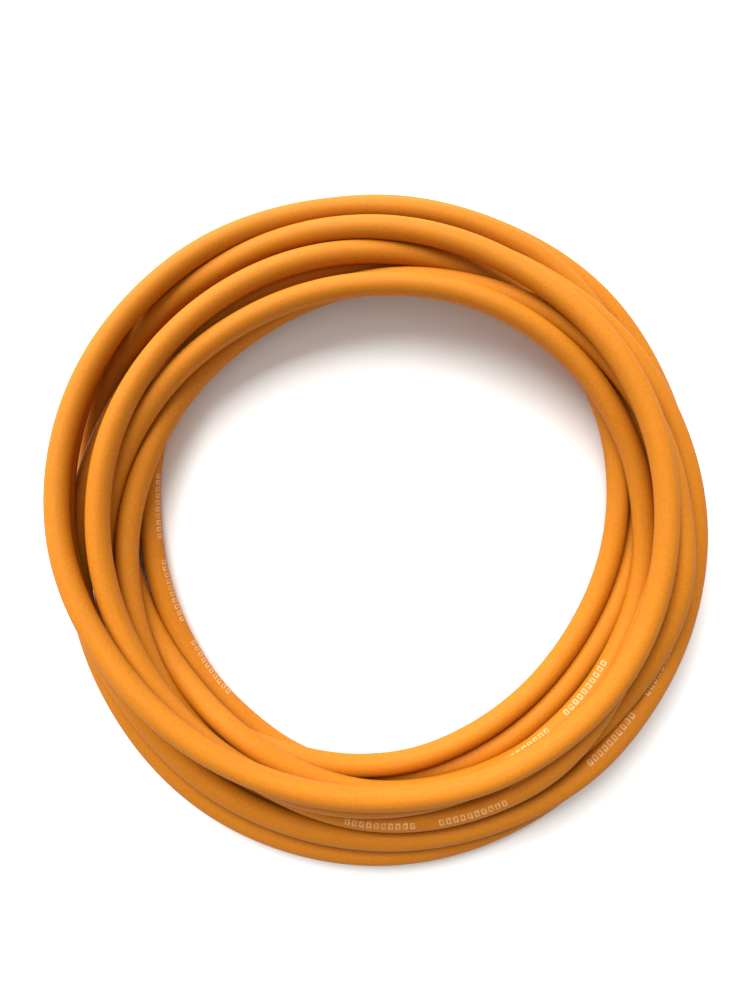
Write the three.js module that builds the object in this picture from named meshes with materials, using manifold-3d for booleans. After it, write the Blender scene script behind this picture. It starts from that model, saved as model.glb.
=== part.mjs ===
// A coil of shielded instrument cable with two plain cut ends, lying flat. Millimetres, +Z up.
// The origin is the middle of the coil, on the surface that it lies on.
// The wound turns are one body of the coil's outer shape. Its underside has a curved channel, where
// the first and the last stretch of the cable lie. Their cuts show every layer of the cable.

import * as THREE from 'three';
import { mergeVertices } from 'three/addons/utils/BufferGeometryUtils.js';
import Module from 'manifold-3d';

// The coil
const cableDiameter = 6.5;
const coilInnerRadius = 62;
const coilOuterRadius = 98; // along Y
const sideDraw = 6; // how much less the outer radius is along X
const coilHeight = 30;
const coilSides = 72;
const edgeSteps = 3; // in each rounded bottom edge
const crownSteps = 14; // over the top of the coil

// The cable's two ends. Angles are in degrees, from +X towards +Y.
const endRadius = 85; // from the coil's middle to the cable's centreline
const endSpans = {
  start: [108, 132],
  finish: [52, 70],
};
const clearance = 0.3; // between the coil and the ends that lie in it
const degreesPerStep = 6; // along a bent cable end
const channelSteps = 48;

// The layers round the core, from the outside in: outer and inner diameter
const layers = [
  { name: 'jacket', outer: cableDiameter, inner: 4.5, color: 0xf09628, roughness: 0.55, metalness: 0 },
  { name: 'braid_shield', outer: 4.3, inner: 3.7, color: 0xc27a52, roughness: 0.35, metalness: 1 },
  { name: 'conductive_sheath', outer: 3.5, inner: 3.1, color: 0x1b1b1d, roughness: 0.6, metalness: 0 },
  { name: 'insulation', outer: 2.9, inner: 1.5, color: 0xe9e6dc, roughness: 0.45, metalness: 0 },
];
const layerSides = 24;

// The core: one straight strand and the strands laid round it
const strandDiameter = 0.38;
const strandPitch = 0.48; // from the middle strand to each of the others
const outerStrands = 6;
const strandSides = 12;
const copper = { color: 0xc9764a, roughness: 0.3, metalness: 1 };

const radians = THREE.MathUtils.degToRad;
const wasm = await Module();
wasm.setup();

// An arc round the coil's middle, at one height
class ArcPath extends THREE.Curve {
  constructor(radius, height, fromDegrees, toDegrees) {
    super();
    this.radius = radius;
    this.height = height;
    this.from = radians(fromDegrees);
    this.to = radians(toDegrees);
  }

  getPoint(t, target = new THREE.Vector3()) {
    const angle = THREE.MathUtils.lerp(this.from, this.to, t);
    return target.set(this.radius * Math.cos(angle), this.radius * Math.sin(angle), this.height);
  }
}

function material({ color, roughness, metalness }) {
  return new THREE.MeshStandardMaterial({ color, roughness, metalness });
}

function toManifold(geometry) {
  const bare = geometry.clone();
  bare.deleteAttribute('normal');
  bare.deleteAttribute('uv');
  const merged = mergeVertices(bare, 1e-4);
  return new wasm.Manifold(new wasm.Mesh({
    numProp: 3,
    vertProperties: new Float32Array(merged.attributes.position.array),
    triVerts: new Uint32Array(merged.index.array),
  }));
}

function fromManifold(solid) {
  const mesh = solid.getMesh();
  const geometry = new THREE.BufferGeometry();
  geometry.setAttribute('position', new THREE.BufferAttribute(mesh.vertProperties, 3));
  geometry.setIndex(new THREE.BufferAttribute(mesh.triVerts, 1));
  geometry.computeVertexNormals();
  return geometry;
}

// The section of the coil: flat below, with rounded bottom edges, and domed over the top
function coilSection() {
  const edge = cableDiameter / 2;
  const middle = (coilInnerRadius + coilOuterRadius) / 2;
  const halfWidth = (coilOuterRadius - coilInnerRadius) / 2;
  const points = [];
  for (let i = 0; i <= edgeSteps; i++) {
    const angle = radians(-90 + (90 * i) / edgeSteps);
    const x = coilOuterRadius - edge + edge * Math.cos(angle);
    points.push(new THREE.Vector2(x, edge + edge * Math.sin(angle)));
  }
  for (let i = 1; i < crownSteps; i++) {
    const angle = radians((180 * i) / crownSteps);
    const x = middle + halfWidth * Math.cos(angle);
    points.push(new THREE.Vector2(x, edge + (coilHeight - edge) * Math.sin(angle)));
  }
  for (let i = 0; i <= edgeSteps; i++) {
    const angle = radians(180 + (90 * i) / edgeSteps);
    const x = coilInnerRadius + edge + edge * Math.cos(angle);
    points.push(new THREE.Vector2(x, edge + edge * Math.sin(angle)));
  }
  points.push(points[0].clone());
  return points;
}

// The channel for the two ends, open below: a curved bar that is cut out of the coil
function channelBar() {
  const outer = endRadius + cableDiameter / 2 + clearance;
  const inner = endRadius - cableDiameter / 2 - clearance;
  const angles = Object.values(endSpans).flat();
  const slack = THREE.MathUtils.radToDeg(clearance / endRadius);
  const from = radians(Math.min(...angles) - slack);
  const to = radians(Math.max(...angles) + slack);
  const shape = new THREE.Shape();
  shape.absarc(0, 0, outer, from, to, false);
  shape.absarc(0, 0, inner, to, from, true);
  const below = 1;
  const geometry = new THREE.ExtrudeGeometry(shape, {
    depth: below + cableDiameter + clearance,
    bevelEnabled: false,
    curveSegments: channelSteps,
  });
  return geometry.translate(0, 0, -below);
}

// Moves the outside of the round ring in from both sides, and leaves the inside round
function drawIn(ring) {
  const position = ring.attributes.position;
  const point = new THREE.Vector2();
  for (let i = 0; i < position.count; i++) {
    point.fromBufferAttribute(position, i);
    const radius = point.length();
    const share = (radius - coilInnerRadius) / (coilOuterRadius - coilInnerRadius);
    point.setLength(radius - sideDraw * share * (point.x / radius) ** 2);
    position.setXY(i, point.x, point.y);
  }
}

function coil() {
  const ring = new THREE.LatheGeometry(coilSection(), coilSides).rotateX(Math.PI / 2);
  drawIn(ring);
  const solid = toManifold(ring).subtract(toManifold(channelBar()));
  const mesh = new THREE.Mesh(fromManifold(solid), material(layers[0]));
  mesh.name = 'coil';
  return mesh;
}

// A circle as a polygon with flats above and below
function ringPoints(diameter, sides) {
  const points = [];
  for (let i = 0; i < sides; i++) {
    const angle = (2 * Math.PI * (i + 0.5)) / sides;
    points.push(new THREE.Vector2(Math.cos(angle), Math.sin(angle)).multiplyScalar(diameter / 2));
  }
  return points;
}

function alongCable(shape, span) {
  const path = new ArcPath(endRadius, cableDiameter / 2, span[0], span[1]);
  const steps = Math.round((span[1] - span[0]) / degreesPerStep);
  return new THREE.ExtrudeGeometry(shape, { steps, extrudePath: path, bevelEnabled: false });
}

function layer(end, span, { name, outer, inner, ...finish }) {
  const shape = new THREE.Shape(ringPoints(outer, layerSides));
  shape.holes.push(new THREE.Path(ringPoints(inner, layerSides)));
  const mesh = new THREE.Mesh(alongCable(shape, span), material(finish));
  mesh.name = `${end}_${name}`;
  return mesh;
}

function strand(end, span, number) {
  const angle = (2 * Math.PI * number) / outerStrands;
  const reach = number === 0 ? 0 : strandPitch;
  const centre = new THREE.Vector2(reach * Math.cos(angle), reach * Math.sin(angle));
  const points = ringPoints(strandDiameter, strandSides).map((point) => point.add(centre));
  const mesh = new THREE.Mesh(alongCable(new THREE.Shape(points), span), material(copper));
  mesh.name = `${end}_core_strand_${number}`;
  return mesh;
}

function cableEnd(end, span) {
  const group = new THREE.Group();
  for (const description of layers) {
    group.add(layer(end, span, description));
  }
  for (let number = 0; number <= outerStrands; number++) {
    group.add(strand(end, span, number));
  }
  return group;
}

const cable = new THREE.Group();
cable.add(coil());
for (const [end, span] of Object.entries(endSpans)) {
  cable.add(cableEnd(end, span));
}

export default cable;
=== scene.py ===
# The looks of a coil of orange instrument cable with two plain cut ends. Metres, +Z up, in the frame
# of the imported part: the middle of the coil is at the origin, on the floor that it lies on.

import math

import bpy
import numpy as np
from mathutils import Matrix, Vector


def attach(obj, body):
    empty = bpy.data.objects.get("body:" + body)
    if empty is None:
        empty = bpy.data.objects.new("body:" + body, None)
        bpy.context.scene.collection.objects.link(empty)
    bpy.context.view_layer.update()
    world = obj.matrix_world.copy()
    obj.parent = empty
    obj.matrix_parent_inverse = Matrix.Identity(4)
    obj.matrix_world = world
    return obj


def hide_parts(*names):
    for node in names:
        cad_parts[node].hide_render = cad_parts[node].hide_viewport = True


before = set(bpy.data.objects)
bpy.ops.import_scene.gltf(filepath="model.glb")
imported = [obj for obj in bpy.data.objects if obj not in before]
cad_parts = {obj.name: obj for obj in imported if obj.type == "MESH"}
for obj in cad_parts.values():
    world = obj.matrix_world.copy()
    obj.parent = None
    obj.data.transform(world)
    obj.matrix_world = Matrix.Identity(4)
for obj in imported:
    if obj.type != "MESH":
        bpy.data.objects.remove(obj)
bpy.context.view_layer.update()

MM = 0.001

# The cable
CABLE = 6.5 * MM  # diameter
BORE = 4.5 * MM  # inside the jacket, where the shield and the core lie
CUT_EDGE = 0.2 * MM  # the rounding at a cut
CUT_EDGE_BEND = 0.3  # how far in the middle of that rounding lies, as a part of CUT_EDGE
SIDES = 28

# The print on the jacket is groups of small rectangles. A group is printed if its middle lies in one of
# these ranges: from and to, in degrees from the first turn's zero, and how far its marks are rolled
# round the cable from the top, outwards, in degrees.
TURN = 360
PRINTS = (
    (2 * TURN + 155, 2 * TURN + 226, -68),
    (3 * TURN + 288, 3 * TURN + 322, -48),
    (6 * TURN + 285, 6 * TURN + 332, -52),
    (8 * TURN + 262, 8 * TURN + 300, 8),
    (1 * TURN + 318, 1 * TURN + 354, -40),
)
MARK_HEIGHT = 1.9 * MM  # across the cable
MARK_WIDTH = 1.4 * MM  # along it
MARK_PITCH = 2 * MM
MARK_STROKE = 0.35 * MM
MARK_BLUR = 0.1 * MM  # the soft edge of a stroke
GROUP_LENGTH = 13 * MARK_PITCH
GROUP_GAP = 3 * MARK_PITCH
NO_PRINT = 1.0  # a distance that no printed mark is at

# How the coil lies. Each row is one turn, with a station every 30 degrees from +X towards +Y: how far
# the middle of the cable is from the middle of the coil, in mm, and how many cables it lies on there.
# The first row begins at 90 degrees, and the last one goes on to the second cut end.
STATION = 30  # degrees
FIRST_STATION = 3  # where the first row begins, in stations
TURNS = (
    ((85, 85, 83, 85.5, 89, 93.5, 95, 93.5, 91),
     (0, 0, 0.4, 0.3, 0, 0, 0, 0, 0)),
    ((90, 90, 91, 93, 92, 90, 85.5, 83, 86, 88, 88.5, 88.5),
     (0, 0, 0, 0, 0, 0.9, 1.5, 1.2, 0.8, 0.8, 1, 1)),
    ((89, 86.5, 83.5, 80, 76, 72, 67, 66.5, 69.5, 72, 73, 72.5),
     (1, 1, 1.7, 0, 0, 0, 0, 0, 0, 0, 0, 0)),
    ((76, 78.5, 78, 77, 75.5, 75, 73.5, 71, 69.5, 73, 76.5, 79.5),
     (0, 0, 0, 0, 1, 0.7, 0, 0.7, 1.7, 0.9, 0.5, 0)),
    ((82.5, 84.5, 89.5, 90.5, 91, 90, 85, 76.5, 71.5, 70.5, 73, 75.5),
     (0, 0, 1, 1, 1, 1.8, 2.6, 3, 2.8, 2.7, 2.4, 2.4)),
    ((76.5, 78.5, 80.5, 84.5, 88, 90, 84, 77, 70.5, 68.5, 66, 66),
     (2.8, 2.8, 2.7, 1.5, 1.3, 0.3, 0, 0, 0.8, 1, 0, 0)),
    ((69.5, 74.5, 78.5, 78, 77.5, 77, 75.5, 73.5, 73, 74, 76, 77.5),
     (0, 0.9, 0.9, 1.1, 1.3, 1.8, 1.9, 2.5, 1.8, 1.8, 1.5, 1)),
    ((78, 74.5, 71, 68, 68.5, 72, 76, 80.5, 82, 83.5, 84.5, 82),
     (1, 1.9, 2, 1.5, 1.3, 1.4, 1, 0, 0, 0, 0, 0.4)),
    ((79.5, 78.5, 74.5, 71, 68, 68.5, 70.5, 72.5, 75.5, 80, 80.5, 78),
     (2, 2, 1.9, 0.7, 0, 0.8, 1, 1.6, 0.9, 1, 1.3, 1.4)),
    ((80.5, 81, 84, 85),
     (1, 1, 0, 0)),
)
END_RADIUS = 85 * MM
START = 108  # degrees: the first cut end, and how far its core reaches in the CAD model
START_CORE = 132
FINISH = 9 * TURN + 70
FINISH_CORE = 9 * TURN + 52

# The settling of the turns
STEP = 4  # degrees between two points of the cable
POINTS_PER_STEP = 3  # in the finished line
ROUNDS = 500
FALL = 0.04 * MM  # of a loose point in one round
STIFFNESS_UP = 30  # against bending up and down
STIFFNESS_ASIDE = 100  # against bending away from the wanted line
STIFFNESS_LAST = 2  # for the last smoothing, where the cables press into each other a little
RETURN = 0.1  # how much of a sideways shift is taken back in one round
CONTACT_PASSES = 6  # in each round
LEAST_LEAN = 0.15 * CABLE  # the smallest height between a cable and the one on top of it

# The camera looks straight down
CAMERA = (-0.7 * MM, 8.5 * MM, 210 * MM)
VIEW_ANGLE = math.radians(70.6)

# The studio
FLOOR_HALF = 2.5  # metres from the middle of the floor to its edge
ROOM_COLOUR = (1, 0.97, 0.93, 1)
ROOM_STRENGTH = 0.6
WINDOW_PLACE = (-0.62, 1.33, 1.15)
WINDOW_SIZE = 1.7
WINDOW_POWER = 92

# Colours, which the looks blend in patches
ORANGE = (0.465, 0.15, 0.005, 1)
LIGHTER_ORANGE = (0.505, 0.165, 0.006, 1)
STREAK_ORANGE = (0.555, 0.193, 0.008, 1)
PORE_ORANGE = (0.36, 0.1, 0.003, 1)
PRINT_CREAM = (0.8, 0.56, 0.33, 1)
BRAID_SHADE = (0.58, 0.25, 0.13, 1)
BRAID_COPPER = (0.83, 0.42, 0.26, 1)
BRAID_GLINT = (0.9, 0.52, 0.34, 1)
TARNISHED_COPPER = (0.55, 0.2, 0.09, 1)
BRIGHT_COPPER = (0.9, 0.46, 0.28, 1)
CARBON_BLACK = (0.012, 0.012, 0.013, 1)
CARBON_GREY = (0.03, 0.03, 0.032, 1)
NATURAL_SHADE = (0.72, 0.7, 0.64, 1)
NATURAL_WHITE = (0.83, 0.81, 0.76, 1)
FLOOR_SHADE = (0.86, 0.855, 0.85, 1)
FLOOR_WHITE = (0.89, 0.885, 0.88, 1)


def make_camera():
    """A camera above the coil, a little to one side of its middle."""
    data = bpy.data.cameras.new("camera")
    data.sensor_fit = "VERTICAL"
    data.angle = VIEW_ANGLE
    data.clip_start = 1 * MM
    camera = bpy.data.objects.new("camera", data)
    camera.location = CAMERA
    bpy.context.scene.collection.objects.link(camera)
    bpy.context.scene.camera = camera


def smooth_through(values, places):
    """A smooth curve through evenly spaced values, read at places counted in values."""
    values = np.array(values, float)
    before = 2 * values[0] - values[1]
    after = 2 * values[-1] - values[-2]
    padded = np.concatenate(([before], values, [after]))
    index = np.clip(places.astype(int), 0, len(values) - 2)
    t = places - index
    a, b, c, d = (padded[index + k] for k in range(4))
    slope = c - a
    curve = 2 * a - 5 * b + 4 * c - d
    twist = 3 * (b - c) + d - a
    return b + 0.5 * t * (slope + t * (curve + t * twist))


def springy(count, stiffness):
    """The matrix that bends a line of points as a springy cable would, given where it is pushed to."""
    bends = np.diff(np.eye(count), n=2, axis=0)
    return np.linalg.inv(np.eye(count) + stiffness * bends.T @ bends)


def neighbours(layers):
    """Every two points of different turns at the same angle: the lower one's index and the upper one's."""
    per_turn = TURN // STEP
    lower = []
    upper = []
    for first in range(len(layers)):
        for second in range(first + per_turn, len(layers), per_turn):
            pair = (first, second) if layers[first] <= layers[second] else (second, first)
            lower.append(pair[0])
            upper.append(pair[1])
    return np.array(lower), np.array(upper)


def settle_turns():
    """Lets the turns down onto the floor and onto each other. Returns angles, radii and heights."""
    degrees = np.arange(START, FINISH + 1, STEP).astype(float)
    places = degrees / STATION - FIRST_STATION
    wanted = smooth_through([radius for row in TURNS for radius in row[0]], places) * MM
    layers = smooth_through([layer for row in TURNS for layer in row[1]], places)
    lower, upper = neighbours(layers)
    count = len(degrees)
    held = (degrees <= START_CORE) | (degrees >= FINISH_CORE)
    wanted[held] = END_RADIUS
    shift = np.zeros(count)
    heights = CABLE / 2 + CABLE * np.maximum(layers, 0)
    spring_up = springy(count, STIFFNESS_UP)
    spring_aside = springy(count, STIFFNESS_ASIDE)
    for _ in range(ROUNDS):
        heights = spring_up @ (heights - FALL)
        radii = wanted + (1 - RETURN) * (spring_aside @ shift)
        for _ in range(CONTACT_PASSES):
            across = radii[upper] - radii[lower]
            above = np.maximum(heights[upper] - heights[lower], LEAST_LEAN)
            distance = np.hypot(across, above)
            push = np.maximum(CABLE - distance, 0) / 2 / distance
            touches = np.bincount(lower, push > 0, count) + np.bincount(upper, push > 0, count)
            touches = np.maximum(touches, 1)
            aside = np.bincount(upper, push * across, count) - np.bincount(lower, push * across, count)
            lift = np.bincount(upper, push * above, count) - np.bincount(lower, push * above, count)
            radii += aside / touches
            heights = np.maximum(heights + lift / touches, CABLE / 2)
            radii[held] = END_RADIUS
            heights[held] = CABLE / 2
        shift = radii - wanted
    softened = springy(count, STIFFNESS_LAST)
    radii = wanted + softened @ shift
    heights = np.maximum(softened @ heights, CABLE / 2)
    radii[held] = END_RADIUS
    heights[held] = CABLE / 2
    return degrees, radii, heights


def cable_line():
    """The cable's centreline, as points about 2 mm apart, and how far round the coil each one is."""
    degrees, radii, heights = settle_turns()
    finer = np.linspace(0, len(degrees) - 1, POINTS_PER_STEP * (len(degrees) - 1) + 1)
    radii = smooth_through(radii, finer)
    heights = smooth_through(heights, finer)
    angles = np.radians(START + STEP * finer)
    line = np.column_stack((radii * np.cos(angles), radii * np.sin(angles), heights))
    return line, START + STEP * finer


def jacket_rings(line, along):
    """The tube's cross-sections: the point of the line, the radius, and how far past the point.

    They run out of the hollow at the first cut, along the outside, and into the hollow at the second.
    """
    start_depth = math.radians(START_CORE - START) * END_RADIUS
    finish_depth = math.radians(FINISH - FINISH_CORE) * END_RADIUS
    first_inside = int(np.searchsorted(along, start_depth)) + 1
    last_inside = int(np.searchsorted(along, along[-1] - finish_depth)) - 2
    end = len(line) - 1
    outside = CABLE / 2
    inside = BORE / 2
    small = CUT_EDGE_BEND * CUT_EDGE
    rings = [(index, inside, 0) for index in range(first_inside, -1, -1)]
    rings += [(0, inside + CUT_EDGE, 0), (0, outside - CUT_EDGE, 0)]
    rings += [(0, outside - small, small), (0, outside, CUT_EDGE)]
    rings += [(index, outside, 0) for index in range(1, end)]
    rings += [(end, outside, -CUT_EDGE), (end, outside - small, -small)]
    rings += [(end, outside - CUT_EDGE, 0), (end, inside + CUT_EDGE, 0)]
    rings += [(index, inside, 0) for index in range(end, last_inside - 1, -1)]
    return rings


def print_place(degrees, roll):
    """How far round the jacket a point is from its group of printed marks, in metres."""
    for first, last, print_roll in PRINTS:
        if first <= degrees <= last:
            turned = (roll - math.radians(print_roll) + math.pi) % (2 * math.pi) - math.pi
            return turned * CABLE / 2
    return NO_PRINT


def directions(line):
    """For each point of the line: the way along it, the level way outwards, and the way up across it."""
    tangents = np.gradient(line, axis=0)
    tangents /= np.linalg.norm(tangents, axis=1)[:, None]
    outward = np.cross(tangents, (0, 0, 1))
    outward /= np.linalg.norm(outward, axis=1)[:, None]
    upward = np.cross(outward, tangents)
    return tangents, outward, upward


def jacket_points(line, along, rings):
    """The jacket's points, ring by ring, and each one's place in the grain of the plastic."""
    tangents, outward, upward = directions(line)
    rolls = 2 * np.pi * np.arange(SIDES) / SIDES
    points = []
    grain = []
    for index, radius, slide in rings:
        middle = line[index] + slide * tangents[index]
        round_it = np.outer(np.cos(rolls), upward[index]) + np.outer(np.sin(rolls), outward[index])
        points.extend((middle + radius * round_it).tolist())
        for roll in rolls:
            grain.append((math.cos(roll), math.sin(roll), along[index] + slide))
    return points, grain


def jacket_faces(along, degrees, rings):
    """The jacket's faces, and the place of each of their corners on the print, round it and along it."""
    group_middles = (np.floor(along / GROUP_LENGTH) + 0.5) * GROUP_LENGTH
    group_degrees = np.interp(group_middles, along, degrees)
    half = math.pi / SIDES
    faces = []
    corners = []
    for ring in range(len(rings) - 1):
        first = rings[ring][0]
        second = rings[ring + 1][0]
        here = ring * SIDES
        there = here + SIDES
        for side in range(SIDES):
            after = (side + 1) % SIDES
            faces.append((here + side, here + after, there + after, there + side))
            middle_roll = 2 * math.pi * (side + 0.5) / SIDES
            middle = print_place(group_degrees[first], middle_roll)
            for index, turn in ((first, -half), (first, half), (second, half), (second, -half)):
                across = middle if middle == NO_PRINT else middle + turn * CABLE / 2
                corners.append((across, along[index]))
    # The ends of the two hollows
    faces.append(tuple(range(SIDES))[::-1])
    faces.append(tuple(range((len(rings) - 1) * SIDES, len(rings) * SIDES)))
    corners += [(NO_PRINT, 0)] * (2 * SIDES)
    return faces, corners


def jacket_tube(name, line, degrees):
    """The jacket: a tube round a line, hollow at both cuts as far as the core reaches. And its length."""
    steps = np.linalg.norm(np.diff(line, axis=0), axis=1)
    along = np.concatenate(([0], np.cumsum(steps)))
    rings = jacket_rings(line, along)
    points, grain = jacket_points(line, along, rings)
    faces, corners = jacket_faces(along, degrees, rings)
    mesh = bpy.data.meshes.new(name)
    mesh.from_pydata(points, [], faces)
    mesh.attributes.new("grain", "FLOAT_VECTOR", "POINT").data.foreach_set("vector", np.ravel(grain))
    mesh.uv_layers.new(name="print").data.foreach_set("uv", np.ravel(corners))
    mesh.shade_smooth()
    piece = bpy.data.objects.new(name, mesh)
    bpy.context.scene.collection.objects.link(piece)
    return piece, float(along[-1])


class Look:
    """A material with its nodes, made by short calls."""

    def __init__(self, name):
        self.material = bpy.data.materials.new(name)
        self.material.use_nodes = True
        self.nodes = self.material.node_tree.nodes
        self.links = self.material.node_tree.links
        self.shader = self.nodes["Principled BSDF"]

    def add(self, kind, inputs=(), **settings):
        node = self.nodes.new(kind)
        for key, value in settings.items():
            setattr(node, key, value)
        for socket, value in dict(inputs).items():
            self.put(node.inputs[socket], value)
        return node

    def put(self, socket, value):
        if isinstance(value, bpy.types.NodeSocket):
            self.links.new(value, socket)
        else:
            socket.default_value = value

    def shade(self, **inputs):
        for name, value in inputs.items():
            self.put(self.shader.inputs[name.replace("_", " ")], value)

    def math(self, operation, first, second=0.0):
        return self.add("ShaderNodeMath", {0: first, 1: second}, operation=operation).outputs[0]

    def noise(self, scale, detail=3.0, vector=None):
        if vector is None:
            vector = self.add("ShaderNodeTexCoord").outputs["Object"]
        inputs = {"Vector": vector, "Scale": scale, "Detail": detail}
        return self.add("ShaderNodeTexNoise", inputs).outputs["Fac"]

    def blend(self, factor, first, second):
        inputs = {0: factor, 6: first, 7: second}
        return self.add("ShaderNodeMix", inputs, data_type="RGBA").outputs[2]

    def span(self, value, low, high, to_low=0.0, to_high=1.0):
        inputs = {0: value, 1: low, 2: high, 3: to_low, 4: to_high}
        return self.add("ShaderNodeMapRange", inputs).outputs[0]

    def bump(self, height, distance, strength=1.0, normal=None):
        node = self.add("ShaderNodeBump", {"Height": height, "Distance": distance, "Strength": strength})
        if normal is not None:
            self.links.new(normal, node.inputs["Normal"])
        return node.outputs[0]


def box(look, across, along, inset):
    """1 inside an upright rectangle the size of a mark, drawn in by an inset, and 0 outside it."""
    half_height = MARK_HEIGHT / 2 - inset
    half_width = MARK_WIDTH / 2 - inset
    in_height = look.span(across, half_height, half_height - MARK_BLUR)
    in_width = look.span(along, half_width, half_width - MARK_BLUR)
    return look.math("MULTIPLY", in_height, in_width)


def printed_marks(look):
    """1 where a printed mark is, and 0 elsewhere: the outlines of small rectangles, in groups."""
    place = look.add("ShaderNodeUVMap", uv_map="print").outputs[0]
    split = look.add("ShaderNodeSeparateXYZ", {0: place})
    across = look.math("ABSOLUTE", split.outputs[0])
    along = split.outputs[1]
    from_middle = look.math("PINGPONG", along, MARK_PITCH / 2)
    outline = look.math("SUBTRACT", box(look, across, from_middle, 0),
                        box(look, across, from_middle, MARK_STROKE))
    from_gap = look.math("PINGPONG", along, GROUP_LENGTH / 2)
    in_group = look.math("GREATER_THAN", from_gap, GROUP_GAP / 2)
    worn = look.span(look.noise(scale=900.0, detail=4.0), 0.3, 0.6, to_low=0.15, to_high=0.6)
    return look.math("MULTIPLY", look.math("MULTIPLY", outline, in_group), worn)


def jacket_look():
    """Matte soft PVC: faint streaks from the extruder, a fine grain, and worn printed marks."""
    look = Look("jacket_pvc")
    grain = look.add("ShaderNodeAttribute", attribute_name="grain").outputs["Vector"]
    stretched = look.add("ShaderNodeMapping", {"Vector": grain, "Scale": (1.0, 1.0, 6.0)}).outputs[0]
    streaks = look.noise(scale=7.0, vector=stretched)
    patches = look.noise(scale=70.0, detail=2.0)
    fine = look.noise(scale=2600.0)
    orange = look.blend(patches, ORANGE, LIGHTER_ORANGE)
    streaked = look.blend(look.span(streaks, 0.35, 0.7, to_high=0.35), orange, STREAK_ORANGE)
    pores = look.span(look.noise(scale=1500.0, detail=4.0), 0.4, 0.65, to_high=0.3)
    mottled = look.blend(pores, streaked, PORE_ORANGE)
    look.shade(Base_Color=look.blend(printed_marks(look), mottled, PRINT_CREAM))
    look.shade(Roughness=look.span(fine, 0.3, 0.7, 0.58, 0.72), Specular_IOR_Level=0.2)
    fine_bump = look.bump(fine, 0.03 * MM, 0.5)
    look.shade(Normal=look.bump(streaks, 0.06 * MM, 0.35, fine_bump))
    return look.material


def braid_look():
    """Bare copper braid: bundles of fine wire that cross over and under each other."""
    look = Look("copper_braid")
    place = look.add("ShaderNodeTexCoord").outputs["Object"]
    weave = look.add("ShaderNodeTexChecker", {"Vector": place, "Scale": 900.0}).outputs["Fac"]
    wires = look.noise(scale=4000.0, detail=2.0)
    copper = look.blend(weave, BRAID_SHADE, BRAID_COPPER)
    look.shade(Base_Color=look.blend(wires, copper, BRAID_GLINT))
    look.shade(Metallic=1.0, Roughness=look.span(wires, 0.2, 0.8, 0.25, 0.45))
    look.shade(Normal=look.bump(wires, 0.05 * MM))
    return look.material


def strand_look():
    """Drawn copper wire, a little tarnished."""
    look = Look("copper_wire")
    tarnish = look.noise(scale=1200.0, detail=4.0)
    look.shade(Base_Color=look.blend(tarnish, TARNISHED_COPPER, BRIGHT_COPPER))
    look.shade(Metallic=1.0, Roughness=look.span(tarnish, 0.2, 0.8, 0.2, 0.4))
    look.shade(Normal=look.bump(look.noise(scale=6000.0, detail=2.0), 0.01 * MM))
    return look.material


def plastic_look(name, dark, light, roughness):
    """The sheath and the insulation: plain extruded plastic with a fine grain."""
    look = Look(name)
    grain = look.noise(scale=1800.0, detail=4.0)
    look.shade(Base_Color=look.blend(grain, dark, light))
    look.shade(Roughness=look.span(grain, 0.2, 0.8, roughness - 0.06, roughness + 0.06))
    look.shade(Normal=look.bump(grain, 0.03 * MM, 0.6))
    return look.material


def floor_look():
    """Plain pale paint."""
    look = Look("floor_paint")
    look.shade(Base_Color=look.blend(look.noise(scale=4.0), FLOOR_SHADE, FLOOR_WHITE))
    look.shade(Roughness=0.7, Specular_IOR_Level=0.2)
    return look.material


def make_cable():
    """The whole cable's jacket, in place of the CAD model's coil and of its two short jackets."""
    line, degrees = cable_line()
    cable, length = jacket_tube("cable_jacket", line, degrees)
    cable.data.materials.append(jacket_look())
    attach(cable, "root")
    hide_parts("coil", "start_jacket", "finish_jacket")


def finish_cad_nodes():
    """The looks of the layers inside both cuts, which keep the CAD model's shapes."""
    looks = {
        "braid_shield": braid_look(),
        "conductive_sheath": plastic_look("carbon_pvc", CARBON_BLACK, CARBON_GREY, roughness=0.55),
        "insulation": plastic_look("natural_pe", NATURAL_SHADE, NATURAL_WHITE, roughness=0.4),
        "core_strand": strand_look(),
    }
    for name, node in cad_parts.items():
        for part, material in looks.items():
            if part in name:
                node.data.materials.clear()
                node.data.materials.append(material)


def make_floor():
    corners = ((-1, -1), (1, -1), (1, 1), (-1, 1))
    points = [(FLOOR_HALF * x, FLOOR_HALF * y, 0) for x, y in corners]
    mesh = bpy.data.meshes.new("floor")
    mesh.from_pydata(points, [], [(0, 1, 2, 3)])
    mesh.materials.append(floor_look())
    floor = bpy.data.objects.new("floor", mesh)
    bpy.context.scene.collection.objects.link(floor)


def make_light():
    """An even pale room, and a large window on the +Y side that faces the middle of the coil."""
    world = bpy.data.worlds.new("studio")
    world.use_nodes = True
    background = world.node_tree.nodes["Background"]
    background.inputs["Color"].default_value = ROOM_COLOUR
    background.inputs["Strength"].default_value = ROOM_STRENGTH
    bpy.context.scene.world = world
    data = bpy.data.lights.new("window", "AREA")
    data.size = WINDOW_SIZE
    data.energy = WINDOW_POWER
    window = bpy.data.objects.new("window", data)
    window.location = WINDOW_PLACE
    window.rotation_euler = (-Vector(WINDOW_PLACE)).to_track_quat("-Z", "Y").to_euler()
    bpy.context.scene.collection.objects.link(window)
    bpy.context.scene.view_settings.view_transform = "Standard"


make_camera()
make_cable()
finish_cad_nodes()
make_floor()
make_light()
